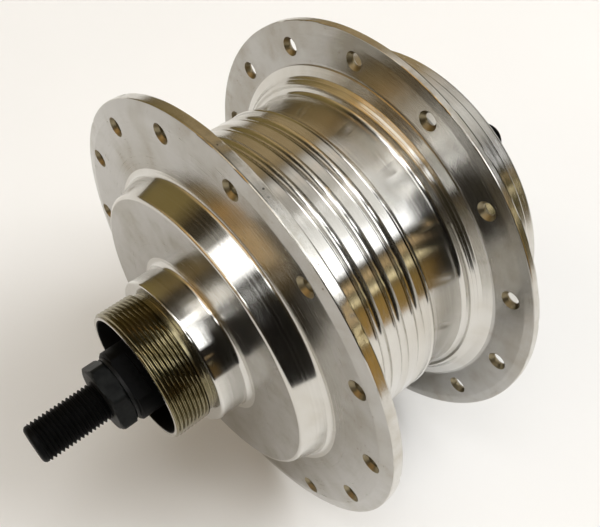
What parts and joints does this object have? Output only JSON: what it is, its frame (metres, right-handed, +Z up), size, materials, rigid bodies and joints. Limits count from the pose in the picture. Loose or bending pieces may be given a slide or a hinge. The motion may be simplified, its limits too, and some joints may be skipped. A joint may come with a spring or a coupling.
{
  "type": "bicycle rear hub",
  "caption": "Rear bicycle hub with a wide ribbed aluminium barrel, drilled spoke flanges, a threaded freewheel boss and a bolt-on end cover, turning on sealed bearings on a solid axle.",
  "frame": {"origin": "middle of the axle, on the axle's centre line", "axes": "+Y along the axle, from the threaded freewheel boss (drive side, -Y) towards the end cover (non-drive side); +Z up with the hub lying on its flange rims; +X completes the right-handed frame"},
  "size_m": [0.1184, 0.159, 0.1184],
  "materials": {
    "shell_aluminium": "turned and polished, with fine turning lines, light nicks and a warm tarnish",
    "cover_aluminium": "turned, satin face with a brighter rim",
    "screw_steel": "zinc plated",
    "seal_rubber": "matt black nitrile rubber",
    "black_steel": "black oxide with a light oil film",
    "nut_steel": "dark phosphate, slightly worn on the corners",
    "washer_steel": "black oxide",
    "sleeve_steel": "plain turned steel",
    "spring_steel": "blackened spring steel",
    "bearing_steel": "ground bearing steel",
    "ball_steel": "polished bearing steel",
    "cage_nylon": "moulded nylon"
  },
  "bodies": {
    "axle_set": {"axle": "black_steel", "drive_locknut": "nut_steel", "drive_lock_washer": "washer_steel", "drive_spacer": "black_steel", "centre_sleeve": "sleeve_steel", "non_drive_spacer": "black_steel", "non_drive_lock_washer": "washer_steel", "non_drive_locknut": "nut_steel", "drive_inner_race": "bearing_steel", "non_drive_inner_race": "bearing_steel"},
    "wheel_shell": {"hub_shell": "shell_aluminium", "end_cover": "cover_aluminium", "cover_screws": "screw_steel", "cover_o_ring": "seal_rubber", "drive_retaining_ring": "spring_steel", "non_drive_retaining_ring": "spring_steel", "drive_outer_race": "bearing_steel", "non_drive_outer_race": "bearing_steel", "drive_outer_seal": "seal_rubber", "drive_inner_seal": "seal_rubber", "non_drive_outer_seal": "seal_rubber", "non_drive_inner_seal": "seal_rubber"},
    "drive_ball_set": {"drive_balls": "ball_steel", "drive_cage": "cage_nylon"},
    "non_drive_ball_set": {"non_drive_balls": "ball_steel", "non_drive_cage": "cage_nylon"}
  },
  "joints": [
    {"name": "shell_spin", "type": "hinge", "parent": "axle_set", "child": "wheel_shell", "pos_m": [0, 0, 0], "axis": [0, 1, 0], "continuous": true},
    {"name": "drive_balls_spin", "type": "hinge", "parent": "axle_set", "child": "drive_ball_set", "pos_m": [0, -0.038, 0], "axis": [0, 1, 0], "continuous": true},
    {"name": "non_drive_balls_spin", "type": "hinge", "parent": "axle_set", "child": "non_drive_ball_set", "pos_m": [0, 0.0375, 0], "axis": [0, 1, 0], "continuous": true}
  ],
  "couplings": [
    {"joint": "drive_balls_spin", "follows": "shell_spin", "ratio": 0.61905},
    {"joint": "non_drive_balls_spin", "follows": "shell_spin", "ratio": 0.61905}
  ]
}
